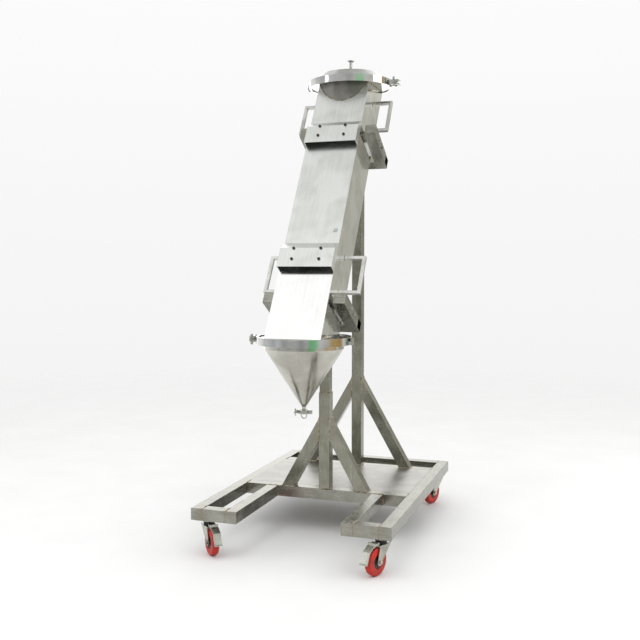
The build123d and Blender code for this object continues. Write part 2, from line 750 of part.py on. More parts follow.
def clamp_half(ring_y, ring_z, front, bolt_side):
    """Half of a clamp ring, with the swing bolt's lug on bolt_side and a hinge opposite."""
    side = -1 if front else 1
    bottom = ring_z - band_height / 2
    with BuildPart() as half:
        with BuildSketch(Plane.XY.offset(bottom)):
            with Locations((0, ring_y)):
                Circle(band_outer)
                Circle(flange_radius - clamp_grip, mode=Mode.SUBTRACT)
            band_sketch(ring_y, front)
        extrude(amount=band_height)
        lug_x = bolt_side * (band_inner + clamp_lip / 2 + lug_reach / 2)
        lug_y = ring_y + side * (lug_gap / 2 + lug_width / 2)
        with BuildSketch(Plane.XY.offset(ring_z - lug_height / 2)):
            with Locations((lug_x, lug_y)):
                RectangleRounded(lug_reach, lug_width, 3)
            if front:
                with Locations((bolt_side * bolt_axis_x, ring_y + eye_y)):
                    Circle(seat_distance - nut_standoff, mode=Mode.INTERSECT)
                inboard = bolt_axis_x - band_inner - clamp_lip / 2
                with Locations((bolt_side * (bolt_axis_x - inboard / 2), lug_y)):
                    Rectangle(inboard, lug_width)
        extrude(amount=lug_height)
        hinge_side = -bolt_side * hinge_x
        low = ring_z - lug_height / 2 if front else ring_z + hinge_play
        with BuildSketch(Plane.XY.offset(low)):
            with Locations((hinge_side, ring_y)):
                Circle(hinge_radius)
            with Locations((-bolt_side * (band_inner + hinge_x) / 2, ring_y + side * hinge_radius)):
                Rectangle(hinge_x - band_inner + 2 * clamp_lip, 2 * hinge_radius)
            with Locations((hinge_side, ring_y)):
                Circle(hinge_pin_radius + running_gap, mode=Mode.SUBTRACT)
        extrude(amount=lug_height / 2 - hinge_play)
        with BuildSketch(Plane.XY.offset(ring_z - half_stack - clamp_clearance)):
            with Locations((0, ring_y)):
                Circle(band_inner)
        extrude(amount=2 * (half_stack + clamp_clearance), mode=Mode.SUBTRACT)
        slot_half = clamp_bolt_radius + slot_clearance if front else eye_height / 2 + slot_clearance
        inner_edge = bolt_axis_x - (slot_half if front else eye_radius + slot_clearance)
        slot_centre = bolt_side * (inner_edge + lug_reach / 2)
        with BuildSketch(Plane.XY.offset(ring_z - slot_half)):
            with Locations((slot_centre, lug_y)):
                Rectangle(lug_reach, 2 * lug_width)
        extrude(amount=2 * slot_half, mode=Mode.SUBTRACT)
        if not front:
            with BuildSketch(Plane.XY.offset(ring_z - lug_height)):
                with Locations((bolt_side * bolt_axis_x, ring_y + eye_y)):
                    Circle(eye_pin_radius)
            extrude(amount=2 * lug_height, mode=Mode.SUBTRACT)
    return half.part


def swing_bolt(ring_y, ring_z, bolt_side, label):
    """Eye bolt that lies across both lugs and swings out about its eye pin."""
    eye = (bolt_side * bolt_axis_x, ring_y + eye_y)
    shank = seat_distance + nut_length + 6.0
    with BuildPart() as bolt:
        with BuildSketch(Plane.XY.offset(ring_z - eye_height / 2)):
            with Locations(eye):
                Circle(eye_radius)
        extrude(amount=eye_height)
        with BuildSketch(Plane.XZ.offset(-eye[1])):
            with Locations((eye[0], ring_z)):
                Circle(clamp_bolt_radius)
        extrude(amount=shank)
        with BuildSketch(Plane.XY.offset(ring_z - eye_height)):
            with Locations(eye):
                Circle(eye_pin_radius + running_gap)
        extrude(amount=2 * eye_height, mode=Mode.SUBTRACT)
    save(bolt.part, label)
    seat = (eye[0], eye[1] - seat_distance, ring_z)
    wing_nut(seat, clamp_bolt_radius, nut_hub, nut_length, nut_span, nut_wing,
             label.replace("bolt", "nut"))


top_bolt_side = 1
bottom_bolt_side = -1
clamp_places = [(top_y, top_clamp_z, top_bolt_side), (bottom_y, bottom_clamp_z, bottom_bolt_side)]
with BuildPart() as front_halves:
    for y, z, bolt_side in clamp_places:
        add(clamp_half(y, z, True, bolt_side))
save(front_halves.part, "clamp_front_halves")
with BuildPart() as rear_halves:
    for y, z, bolt_side in clamp_places:
        add(clamp_half(y, z, False, bolt_side))
save(rear_halves.part, "clamp_rear_halves")
swing_bolt(top_y, top_clamp_z, top_bolt_side, "top_clamp_bolt")
swing_bolt(bottom_y, bottom_clamp_z, bottom_bolt_side, "bottom_clamp_bolt")

pin_overhang = 4.0
with BuildPart() as clamp_pins:
    for y, z, side in clamp_places:
        with BuildSketch(Plane.XY.offset(z - lug_height / 2 - pin_overhang)):
            with Locations((-side * hinge_x, y)):
                Circle(hinge_pin_radius)
            with Locations((side * bolt_axis_x, y + eye_y)):
                Circle(eye_pin_radius)
        extrude(amount=lug_height + 2 * pin_overhang)
        for end in (-1, 1):
            with BuildSketch(Plane.XY.offset(z + end * lug_height / 2)):
                with Locations((-side * hinge_x, y)):
                    Circle(1.6 * hinge_pin_radius)
                with Locations((side * bolt_axis_x, y + eye_y)):
                    Circle(1.6 * eye_pin_radius)
            extrude(amount=end * pin_overhang)
save(clamp_pins.part, "clamp_pins")

# ------------------------------------------------------------------- casters
plate_thickness = 4.0
race_radius = 27.0
race_height = 8.0
kingpin_radius = 6.0
kingpin_nut = 5.0
part_gap = 0.3
seal_radius = 23.0
race_bottom = caster_height - plate_thickness - race_height
leg_inner = wheel_width / 2 + fork_gap
leg_outer = leg_inner + fork_sheet
caster_x = half_width - caster_inset
caster_y = half_length - caster_inset
# Swivel angle of each caster at rest: the direction in which its wheel trails.
casters = {
    "front_left": (-caster_x, -caster_y, -45.0),
    "front_right": (caster_x, -caster_y, -110.0),
    "rear_left": (-caster_x, caster_y, 60.0),
    "rear_right": (caster_x, caster_y, -111.0),
}

with BuildPart() as caster_plates:
    for x, y, turn in casters.values():
        with BuildSketch(Plane.XY.offset(caster_height - plate_thickness)):
            with Locations((x, y)):
                RectangleRounded(caster_plate, caster_plate, 8)
        extrude(amount=plate_thickness)
        with BuildSketch(Plane.XY.offset(race_bottom)):
            with Locations((x, y)):
                Circle(race_radius)
        extrude(amount=race_height)
        nut_bottom = crown_top - fork_sheet - part_gap - kingpin_nut
        with BuildSketch(Plane.XY.offset(nut_bottom)):
            with Locations((x, y)):
                Circle(kingpin_radius)
        extrude(amount=race_bottom - nut_bottom)
        with BuildSketch(Plane.XY.offset(nut_bottom)):
            with Locations((x, y)):
                RegularPolygon(1.7 * kingpin_radius, 6)
        extrude(amount=kingpin_nut)
save(caster_plates.part, "caster_plates")

with BuildPart() as swivel_seals:
    with BuildSketch(Plane.XY.offset(crown_top + part_gap)):
        with Locations(*[(x, y) for x, y, turn in casters.values()]):
            Circle(seal_radius)
            Circle(kingpin_radius, mode=Mode.SUBTRACT)
    extrude(amount=race_bottom - crown_top - part_gap)
save(swivel_seals.part, "swivel_seals")

axle_boss = 15.0
axle_nut = 7.0
leg_front = 42.0
leg_rear = 34.0
crown_front = 28.0
pivot_t = 36.0
pivot_z = crown_top + 6.0
pivot_pin = 3.0
pedal_half_width = 11.0
ear_thickness = 3.0
for name, (x, y, turn) in casters.items():
    a = radians(turn)
    # Local x runs along the trail, local y is up, and the normal is the axle.
    side_view = Plane(origin=(x, y, 0), x_dir=(cos(a), sin(a), 0), z_dir=(sin(a), -cos(a), 0))
    top_view = Plane(origin=(x, y, 0), x_dir=(cos(a), sin(a), 0), z_dir=(0, 0, 1))

    with BuildPart() as fork:
        with BuildSketch(side_view.offset(leg_inner)):
            Polygon((-leg_front, crown_top), (leg_rear, crown_top),
                    (caster_trail + axle_boss, wheel_radius),
                    (caster_trail - axle_boss, wheel_radius), align=None)
            with Locations((caster_trail, wheel_radius)):
                Circle(axle_boss)
        extrude(amount=fork_sheet)
        with BuildSketch(side_view.offset(-leg_inner)):
            Polygon((-leg_front, crown_top), (leg_rear, crown_top),
                    (caster_trail + axle_boss, wheel_radius),
                    (caster_trail - axle_boss, wheel_radius), align=None)
            with Locations((caster_trail, wheel_radius)):
                Circle(axle_boss)
        extrude(amount=-fork_sheet)
        with BuildSketch(top_view.offset(crown_top - fork_sheet)):
            Circle(crown_front)
            with Locations((pivot_t / 2, 0)):
                Rectangle(pivot_t + 12, 2 * leg_outer)
        extrude(amount=fork_sheet)
        for end in (-1, 1):
            with BuildSketch(side_view.offset(end * (pedal_half_width + part_gap))):
                with Locations((pivot_t, pivot_z)):
                    Circle(2 * pivot_pin)
                with Locations((pivot_t, (pivot_z + crown_top) / 2)):
                    Rectangle(4 * pivot_pin, pivot_z - crown_top)
            extrude(amount=end * ear_thickness)
        with BuildSketch(side_view):
            with Locations((pivot_t, pivot_z)):
                Circle(pivot_pin)
        extrude(amount=pedal_half_width + part_gap + ear_thickness, both=True)
        with BuildSketch(top_view.offset(crown_top - 2 * fork_sheet)):
            Circle(kingpin_radius + running_gap)
        extrude(amount=2 * fork_sheet, mode=Mode.SUBTRACT)
        with BuildSketch(side_view):
            with Locations((caster_trail, wheel_radius)):
                Circle(axle_radius + running_gap)
        extrude(amount=2 * leg_outer, both=True, mode=Mode.SUBTRACT)
        # The axle is a loose bolt: a solid of its own, clear of the fork all round.
        with BuildSketch(side_view):
            with Locations((caster_trail, wheel_radius)):
                Circle(axle_radius)
        extrude(amount=leg_outer + axle_nut, both=True)
        for end in (-1, 1):
            with BuildSketch(side_view.offset(end * (leg_outer + running_gap))):
                with Locations((caster_trail, wheel_radius)):
                    RegularPolygon(1.8 * axle_radius, 6)
            extrude(amount=end * axle_nut)
    save(fork.part, name + "_fork")

    core_radius = wheel_radius - tread_thickness
    hub_end = leg_inner - part_gap
    with BuildPart() as core:
        with BuildSketch(side_view):
            with Locations((caster_trail, wheel_radius)):
                Circle(core_radius)
                Circle(axle_radius + running_gap, mode=Mode.SUBTRACT)
        extrude(amount=wheel_width / 2 - 3, both=True)
        with BuildSketch(side_view):
            with Locations((caster_trail, wheel_radius)):
                Circle(2.6 * axle_radius)
                Circle(axle_radius + running_gap, mode=Mode.SUBTRACT)
        extrude(amount=hub_end, both=True)
    save(core.part, name + "_wheel_core")

    with BuildPart() as tread:
        with BuildSketch(side_view):
            with Locations((caster_trail, wheel_radius)):
                Circle(wheel_radius)
                Circle(core_radius, mode=Mode.SUBTRACT)
        extrude(amount=wheel_width / 2, both=True)
        rims = tread.edges().filter_by(GeomType.CIRCLE).sort_by(SortBy.RADIUS)[-2:]
        fillet(rims, tread_round)
    save(tread.part, name + "_wheel_tread")

    with BuildPart() as pedal:
        with BuildSketch(side_view):
            with BuildLine():
                Polyline((pivot_t, pivot_z + 4), (pivot_t + 26, pivot_z + 6), (pivot_t + 26, pivot_z + 10),
                         (pivot_t + 31, pivot_z + 10), (pivot_t + 31, pivot_z),
                         (pivot_t + 42, pivot_z - 6), (pivot_t + 62, pivot_z - 19),
                         (pivot_t + 79, pivot_z - 61), (pivot_t + 87, pivot_z - 61),
                         (pivot_t + 87, pivot_z - 65), (pivot_t + 76, pivot_z - 65),
                         (pivot_t + 58, pivot_z - 22), (pivot_t + 39, pivot_z - 9),
                         (pivot_t, pivot_z), close=True)
            make_face()
        extrude(amount=pedal_half_width + 5, both=True)
        with BuildSketch(side_view):
            with Locations((pivot_t, pivot_z)):
                Circle(2 * pivot_pin + 1)
        extrude(amount=pedal_half_width + 6, both=True, mode=Mode.SUBTRACT)
        with BuildSketch(side_view):
            with Locations((pivot_t, pivot_z)):
                Circle(2 * pivot_pin - 0.5)
            with Locations((pivot_t + 8, pivot_z + 3.5)):
                Rectangle(14, 4)
        extrude(amount=pedal_half_width, both=True)
        with BuildSketch(side_view):
            with Locations((pivot_t, pivot_z)):
                Circle(pivot_pin + running_gap)
        extrude(amount=pedal_half_width + 6, both=True, mode=Mode.SUBTRACT)
    save(pedal.part, name + "_brake_pedal")
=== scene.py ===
# %% [markdown]
# # A mobile transfer chute in stainless steel
# The object is a welded stand on four swivel casters that carries a closed, leaning
# sheet-metal chute, with a clamped lid on top and a clamped cone below.
# Every hard piece already has its true shape, so the work here is to finish the edges,
# lay the weld beads and give each metal the surface that its making leaves.

# %% Load the frame and measure it
import bpy
from math import cos, pi, radians, sin, tan
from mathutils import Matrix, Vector


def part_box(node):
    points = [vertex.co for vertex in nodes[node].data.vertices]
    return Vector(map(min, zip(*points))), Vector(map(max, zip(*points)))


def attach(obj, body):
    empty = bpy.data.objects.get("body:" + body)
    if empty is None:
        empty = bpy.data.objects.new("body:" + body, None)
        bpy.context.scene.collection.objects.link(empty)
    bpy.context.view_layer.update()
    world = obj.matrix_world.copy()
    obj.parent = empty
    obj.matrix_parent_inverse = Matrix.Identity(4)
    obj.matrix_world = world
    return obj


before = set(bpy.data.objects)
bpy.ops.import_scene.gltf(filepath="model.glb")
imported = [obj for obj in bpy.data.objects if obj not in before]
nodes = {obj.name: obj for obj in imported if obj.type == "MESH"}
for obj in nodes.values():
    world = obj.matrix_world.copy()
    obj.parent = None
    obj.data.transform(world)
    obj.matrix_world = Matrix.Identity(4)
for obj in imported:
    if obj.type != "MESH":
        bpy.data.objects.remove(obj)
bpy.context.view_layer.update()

# %% [markdown]
# ## Reading places from the frame
# Most places come from the boxes of the finished pieces, so that a bead stays on its joint
# when a size changes. A box can't say where a slanted brace or a handle ends, so those few
# sizes are named numbers. The chute leans back, and its own direction is needed for the run
# of the polish and for the beads, so it is worked out once.

# %% Directions and places
chute_lean = radians(31.3)
up_chute = Vector((0, sin(chute_lean), cos(chute_lean)))
out_of_chute = Vector((0, -cos(chute_lean), sin(chute_lean)))
rail_low, rail_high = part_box("outer_rails")
rail_top = rail_high.z
print("rail top", round(rail_top, 4))

# %% [markdown]
# ## Small helpers for finishes
# Colours are easiest to judge as the hex values that a paint program shows. Light adds up
# in linear values, so one function converts them. A second one adds a shader node with its
# settings and its links, which keeps each recipe readable as a list of steps. Two more
# start an empty material and turn a grey pattern into colours.

# %% Colour and node helpers
def linear(hex_colour):
    """sRGB hex to a linear colour with alpha."""
    parts = [int(hex_colour[i:i + 2], 16) / 255 for i in (1, 3, 5)]
    straight = [c / 12.92 if c <= 0.04045 else ((c + 0.055) / 1.055) ** 2.4 for c in parts]
    return straight + [1.0]


def node(tree, kind, settings=None, links=None):
    """Add a node, set its properties or sockets, and link other nodes' outputs into it."""
    made = tree.nodes.new(kind)
    for key, value in (settings or {}).items():
        if isinstance(key, str) and hasattr(made, key):
            setattr(made, key, value)
        else:
            made.inputs[key].default_value = value
    for key, source in (links or {}).items():
        tree.links.new(source, made.inputs[key])
    return made


def finish_named(name):
    """An empty material and its node tree."""
    made = bpy.data.materials.new(name)
    made.use_nodes = True
    made.node_tree.nodes.clear()
    return made, made.node_tree


def ramp(tree, source, stops):
    """Colour ramp from (position, hex) stops."""
    made = node(tree, "ShaderNodeValToRGB", None, {"Fac": source})
    band = made.color_ramp
    while len(band.elements) < len(stops):
        band.elements.new(0.5)
    for element, (place, colour) in zip(band.elements, stops):
        element.position = place
        element.color = linear(colour)
    return made.outputs["Color"]


print("white is", linear("#ffffff"))

# %% [markdown]
# ## Brushed and pickled box section
# The stand is 304 stainless box section. It is brushed lengthwise and then pickled after
# welding, which leaves a dull grey with an olive cast, cloudy patches where the acid sat,
# and straw-brown heat tint close to each weld. Real scratches are about 0.2 mm apart, far
# too fine to show, so they are drawn about 2 mm apart. The clouds are 40 to 80 mm across.
# Heat tint is a band around each weld plane, broken up by noise. A mapping stretches one
# noise along the tube, because the same noise in three directions would look like cast
# metal and not like a brushed one.

# %% Box section finish
def box_section(name, grain, welds, tilt=0.0, light="#a9a89f", dark="#94938a"):
    """Brushed, pickled tube: grain is the axis along the tube, welds are (axis, metres)."""
    made, tree = finish_named(name)
    place = node(tree, "ShaderNodeTexCoord").outputs["Object"]
    turned = node(tree, "ShaderNodeMapping", {"Rotation": (tilt, 0, 0)},
                  {"Vector": place}).outputs[0]
    stretch = [500.0, 500.0, 500.0]
    stretch["XYZ".index(grain)] = 9.0
    along = node(tree, "ShaderNodeMapping", {"Scale": stretch}, {"Vector": turned}).outputs[0]
    grain_noise = node(tree, "ShaderNodeTexNoise", {"Scale": 1.0, "Detail": 3.0}, {"Vector": along})
    cloud = node(tree, "ShaderNodeTexNoise", {"Scale": 16.0, "Detail": 3.0, "Roughness": 0.5},
                 {"Vector": place})
    speck = node(tree, "ShaderNodeTexNoise", {"Scale": 160.0, "Detail": 4.0}, {"Vector": place})
    base = ramp(tree, cloud.outputs["Fac"], [(0.34, dark), (0.66, light)])
    streak = ramp(tree, grain_noise.outputs["Fac"], [(0.35, "#8f8f86"), (0.65, "#ffffff")])
    colour = node(tree, "ShaderNodeMix", {"data_type": "RGBA", "blend_type": "MULTIPLY", 0: 0.45},
                  {6: base, 7: streak}).outputs[2]
    split = node(tree, "ShaderNodeSeparateXYZ", None, {0: place})
    mask = None
    for axis, at in welds:
        gap = node(tree, "ShaderNodeMath", {"operation": "SUBTRACT", 1: at},
                   {0: split.outputs[axis]})
        away = node(tree, "ShaderNodeMath", {"operation": "ABSOLUTE"}, {0: gap.outputs[0]})
        wavy = node(tree, "ShaderNodeMath", {"operation": "MULTIPLY_ADD", 1: 0.03},
                    {0: cloud.outputs["Fac"], 2: away.outputs[0]})
        near = node(tree, "ShaderNodeMapRange",
                    {"From Min": 0.014, "From Max": 0.030, "To Min": 1.0, "To Max": 0.0},
                    {0: wavy.outputs[0]})
        if mask:
            near = node(tree, "ShaderNodeMath", {"operation": "MAXIMUM"},
                        {0: mask, 1: near.outputs[0]})
        mask = near.outputs[0]
    if mask:
        tint = ramp(tree, speck.outputs["Fac"],
                    [(0.36, "#7d7668"), (0.5, "#938873"), (0.64, "#aaa595")])
        amount = node(tree, "ShaderNodeMath", {"operation": "MULTIPLY", 1: 0.6},
                      {0: mask}).outputs[0]
        colour = node(tree, "ShaderNodeMix", {"data_type": "RGBA"},
                      {0: amount, 6: colour, 7: tint}).outputs[2]
    rough = node(tree, "ShaderNodeMapRange",
                 {"From Min": 0.3, "From Max": 0.7, "To Min": 0.20, "To Max": 0.30},
                 {0: cloud.outputs["Fac"]}).outputs[0]
    bump = node(tree, "ShaderNodeBump", {"Strength": 0.25, "Distance": 0.0004},
                {"Height": grain_noise.outputs["Fac"]}).outputs[0]
    shader = node(tree, "ShaderNodeBsdfPrincipled", {"Metallic": 1.0},
                  {"Base Color": colour, "Roughness": rough, "Normal": bump})
    node(tree, "ShaderNodeOutputMaterial", None, {0: shader.outputs[0]})
    return made


# %% Finishes of the stand's tubes
tube = 0.05
front_brace_rise = 0.321
half_width = rail_high.x
half_length = -rail_low.y
inner_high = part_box("inner_rails")[1]
front_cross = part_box("front_cross_rail")
mid_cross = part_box("mid_cross_rail")
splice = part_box("front_post")[1].z
toe_welds = [("X", inner_high.x - tube), ("X", -inner_high.x), ("X", inner_high.x),
             ("X", tube - inner_high.x), ("X", half_width - tube), ("X", tube - half_width)]
rails_y = box_section("pickled_box_section_lengthwise", "Y",
                      [("Y", front_cross[0].y), ("Y", mid_cross[1].y), ("Y", tube - half_length)])
rails_x = box_section("pickled_box_section_crosswise", "X", toe_welds)
# The posts and braces are the same box section as the rails; their darker colours are painted shade
# for upright faces that get less light than the rails' tops.
posts = box_section("pickled_box_section_upright_painted_shade", "Z",
                    [("Z", rail_top), ("Z", splice), ("Z", rail_top + front_brace_rise)],
                    0.0, "#a3a294", "#8c8c7e")
braces = box_section("pickled_box_section_brace_painted_shade", "Z",
                     [("Z", rail_top), ("X", 0.03), ("X", -0.03)], 0.0, "#a5a497", "#8e8d80")
leaning = box_section("pickled_box_section_leaning", "Y", [], chute_lean)
print("box section finishes", [m.name for m in (rails_y, rails_x, posts, braces, leaning)])

# %% [markdown]
# ## Satin sheet
# The chute is folded from 304 sheet with a satin mill polish that runs up the chute. It is
# smooth enough to mirror the arms softly, so the roughness is low, and fine long streaks and
# faint handling smears keep it from looking like chrome. Real scratches are 0.1 mm apart;
# they are drawn about 1.5 mm apart so that they show. The same recipe gives the other
# sheets and bars, and only colour, gloss and the run of the scratches differ: the covers are
# a little duller, the lowest cover is glossier and painted near white as a painted highlight
# for the bright light it mirrors, the neck is rougher and painted dark grey as painted shade
# for the shadow under the top ring, the deck is worn, and the cone, which was polished while
# it span, has its scratches around it.

# %% Satin sheet finish
def satin_sheet(name, tilt, light, dark, low, high, stretch=(620.0, 620.0, 5.0)):
    """Satin sheet whose polish runs along Z after turning by tilt about X."""
    made, tree = finish_named(name)
    place = node(tree, "ShaderNodeTexCoord").outputs["Object"]
    turned = node(tree, "ShaderNodeMapping", {"Rotation": (tilt, 0, 0)},
                  {"Vector": place}).outputs[0]
    along = node(tree, "ShaderNodeMapping", {"Scale": stretch}, {"Vector": turned}).outputs[0]
    streak = node(tree, "ShaderNodeTexNoise", {"Scale": 1.0, "Detail": 4.0, "Roughness": 0.6},
                  {"Vector": along})
    smear = node(tree, "ShaderNodeTexNoise", {"Scale": 9.0, "Detail": 3.0, "Distortion": 0.6},
                 {"Vector": turned})
    wave = node(tree, "ShaderNodeTexNoise", {"Scale": 3.2, "Detail": 1.0}, {"Vector": turned})
    base = ramp(tree, smear.outputs["Fac"], [(0.38, dark), (0.6, light)])
    line = ramp(tree, streak.outputs["Fac"], [(0.3, "#c9cac6"), (0.6, "#ffffff")])
    colour = node(tree, "ShaderNodeMix", {"data_type": "RGBA", "blend_type": "MULTIPLY", 0: 0.35},
                  {6: base, 7: line}).outputs[2]
    blend = node(tree, "ShaderNodeMath", {"operation": "MULTIPLY_ADD", 1: 0.5},
                 {0: streak.outputs["Fac"], 2: smear.outputs["Fac"]}).outputs[0]
    rough = node(tree, "ShaderNodeMapRange",
                 {"From Min": 0.5, "From Max": 1.0, "To Min": low, "To Max": high},
                 {0: blend}).outputs[0]
    wavy = node(tree, "ShaderNodeBump", {"Strength": 0.12, "Distance": 0.02},
                {"Height": wave.outputs["Fac"]}).outputs[0]
    bump = node(tree, "ShaderNodeBump", {"Strength": 0.12, "Distance": 0.0003},
                {"Height": streak.outputs["Fac"], "Normal": wavy}).outputs[0]
    shader = node(tree, "ShaderNodeBsdfPrincipled", {"Metallic": 1.0},
                  {"Base Color": colour, "Roughness": rough, "Normal": bump})
    node(tree, "ShaderNodeOutputMaterial", None, {0: shader.outputs[0]})
    return made


# %% Finishes of the sheets and bars
chute_sheet = satin_sheet("satin_sheet_up_the_chute", chute_lean, "#ededea", "#dadad7", 0.07, 0.15)
panel_sheet = satin_sheet("satin_panel_up_the_chute", chute_lean, "#e6e8e5", "#dadcd8", 0.26, 0.34)
deck_sheet = satin_sheet("satin_deck_sheet", 0.0, "#b4b2ad", "#9b9994", 0.30, 0.44,
                         (5.0, 500.0, 5.0))
cone_sheet = satin_sheet("polished_spun_cone", 0.0, "#cbc9c0", "#b3b1a8", 0.12, 0.24,
                         (60.0, 60.0, 420.0))
frame_bar = satin_sheet("polished_square_bar", chute_lean, "#dfdfdc", "#c2c2be", 0.14, 0.26)
# The lowest cover's near-white colour is a painted highlight for the bright light this cover mirrors.
bright_panel = satin_sheet("lower_panel_painted_highlight", chute_lean, "#fbfbfa", "#f1f1ef", 0.12, 0.20)
# The neck's dark grey colour is painted shade for the shadow under the top ring.
neck_sheet = satin_sheet("neck_sheet_painted_shade", 0.0, "#8f8c86", "#75726d", 0.42, 0.55,
                         (40.0, 40.0, 300.0))
print("sheet finishes", chute_sheet.name, panel_sheet.name)

# %% [markdown]
# ## Mirror-polished rings, lid and fittings
# The clamp rings, the lid and the small fittings are buffed to a mirror. A mirror on a
# turned ring is never quite true, so a slow ripple in the surface bends the reflections,
# and a few hairline scratches catch the light. The pressed caster steel is the same recipe
# with more roughness, since its zinc coat only shines.

# %% Mirror polish finish
def mirror_polish(name, light="#cdcdca", dark="#b6b6b2", low=0.05, high=0.13):
    """Buffed stainless: near-mirror, with slow waves and hairline scratches."""
    made, tree = finish_named(name)
    place = node(tree, "ShaderNodeTexCoord").outputs["Object"]
    slow = node(tree, "ShaderNodeTexNoise", {"Scale": 14.0, "Detail": 2.0}, {"Vector": place})
    fine = node(tree, "ShaderNodeTexNoise", {"Scale": 240.0, "Detail": 3.0}, {"Vector": place})
    scratch = node(tree, "ShaderNodeTexVoronoi", {"feature": "DISTANCE_TO_EDGE", "Scale": 55.0},
                   {"Vector": place})
    hairline = node(tree, "ShaderNodeMapRange",
                    {"From Min": 0.0, "From Max": 0.02, "To Min": 0.12, "To Max": 0.0},
                    {0: scratch.outputs["Distance"]}).outputs[0]
    colour = ramp(tree, slow.outputs["Fac"], [(0.35, dark), (0.65, light)])
    polish = node(tree, "ShaderNodeMapRange",
                  {"From Min": 0.35, "From Max": 0.65, "To Min": low, "To Max": high},
                  {0: fine.outputs["Fac"]}).outputs[0]
    rough = node(tree, "ShaderNodeMath", {"operation": "ADD"}, {0: polish, 1: hairline}).outputs[0]
    bump = node(tree, "ShaderNodeBump", {"Strength": 0.10, "Distance": 0.004},
                {"Height": slow.outputs["Fac"]}).outputs[0]
    shader = node(tree, "ShaderNodeBsdfPrincipled", {"Metallic": 1.0},
                  {"Base Color": colour, "Roughness": rough, "Normal": bump})
    node(tree, "ShaderNodeOutputMaterial", None, {0: shader.outputs[0]})
    return made


ring_mirror = mirror_polish("mirror_polished_ring")
lid_mirror = mirror_polish("mirror_polished_lid", "#bdbdb9", "#a6a6a2", 0.10, 0.18)
fitting_mirror = mirror_polish("mirror_polished_fitting", "#c9c9c3", "#a8a8a2", 0.08, 0.18)
pressed_fork = mirror_polish("pressed_caster_steel", "#bdbdb4", "#98988f", 0.20, 0.34)
print("polished finishes", ring_mirror.name, lid_mirror.name)

# %% [markdown]
# ## Welds with heat tint
# A TIG bead is a row of overlapping ripples. Heat turns the metal grey, straw and brown,
# and pickling takes part of it off again, so noise over a short colour ramp gives patches.

# %% Weld finish
weld_metal, tree = finish_named("tig_weld_bead")
spot = node(tree, "ShaderNodeTexCoord").outputs["Object"]
heat = node(tree, "ShaderNodeTexNoise", {"Scale": 38.0, "Detail": 4.0}, {"Vector": spot})
grit = node(tree, "ShaderNodeTexNoise", {"Scale": 420.0, "Detail": 2.0}, {"Vector": spot})
tint = ramp(tree, heat.outputs["Fac"],
            [(0.34, "#5e5a52"), (0.45, "#8a8371"), (0.55, "#b3ae9c"), (0.68, "#8f7c52")])
bump = node(tree, "ShaderNodeBump", {"Strength": 0.3, "Distance": 0.0006},
            {"Height": grit.outputs["Fac"]})
shader = node(tree, "ShaderNodeBsdfPrincipled", {"Metallic": 1.0, "Roughness": 0.34},
              {"Base Color": tint, "Normal": bump.outputs[0]})
node(tree, "ShaderNodeOutputMaterial", None, {0: shader.outputs[0]})
print("weld finish", weld_metal.name)

# %% [markdown]
# ## Plastics, rubber and black oxide
# The wheels are red cast polyurethane on a moulded nylon core, the swivel seals are black
# rubber, the gaskets are white silicone and the tag is printed plastic. Their IOR is near
# 1.5, and silicone's is 1.42. The hood screws are steel, but their oiled black oxide skin
# hides the metal and looks like a dark gloss coat. Each gets colour that varies a little
# from place to place and a bump for its skin, which is really 0.1 mm grit and is drawn
# 1 mm wide so that it shows.

# %% Moulded finishes
def moulded(name, light, dark, low, high, scale=60.0, ior=1.5):
    """Moulded plastic or rubber: cloudy colour, varied gloss and a fine skin."""
    made, tree = finish_named(name)
    place = node(tree, "ShaderNodeTexCoord").outputs["Object"]
    cloud = node(tree, "ShaderNodeTexNoise", {"Scale": scale, "Detail": 5.0}, {"Vector": place})
    skin = node(tree, "ShaderNodeTexNoise", {"Scale": 900.0, "Detail": 2.0}, {"Vector": place})
    colour = ramp(tree, cloud.outputs["Fac"], [(0.35, dark), (0.65, light)])
    rough = node(tree, "ShaderNodeMapRange",
                 {"From Min": 0.35, "From Max": 0.65, "To Min": low, "To Max": high},
                 {0: cloud.outputs["Fac"]}).outputs[0]
    bump = node(tree, "ShaderNodeBump", {"Strength": 0.3, "Distance": 0.0002},
                {"Height": skin.outputs["Fac"]}).outputs[0]
    shader = node(tree, "ShaderNodeBsdfPrincipled", {"IOR": ior},
                  {"Base Color": colour, "Roughness": rough, "Normal": bump})
    node(tree, "ShaderNodeOutputMaterial", None, {0: shader.outputs[0]})
    return made


tread_red = moulded("cast_red_polyurethane", "#c21f08", "#8e1403", 0.34, 0.50, 28.0)
core_nylon = moulded("moulded_dark_nylon", "#33312f", "#1e1d1c", 0.40, 0.55)
seal_rubber = moulded("black_seal_rubber", "#1c1c1c", "#0e0e0e", 0.55, 0.72, ior=1.52)
silicone = moulded("white_silicone_gasket", "#d9d9d3", "#c4c4bd", 0.45, 0.6, ior=1.42)
oxide = moulded("black_oxide_screws", "#2b2b2a", "#151515", 0.32, 0.48, 200.0)
tag_face = moulded("printed_plastic_tag", "#b9beb8", "#9ea49e", 0.4, 0.5, 120.0)
print("moulded finishes", tread_red.name, core_nylon.name)

# %% [markdown]
# ## Giving each piece its finish and soft edges
# Cut and folded metal never has a razor edge, and drawn tube is rounder still. A bevel of a
# millimetre or so on every piece, and of 2.6 mm on the tubes, catches a thin line of light,
# which tells the eye that the edge is real. The vertices of these meshes are split at their
# edges, so they are welded first, the triangles of each flat are merged, and then the edges
# are bevelled by angle. Normals weighted by face area keep the flats flat beside their
# rounded edges. The treads have round edges in their own shape and need no bevel.

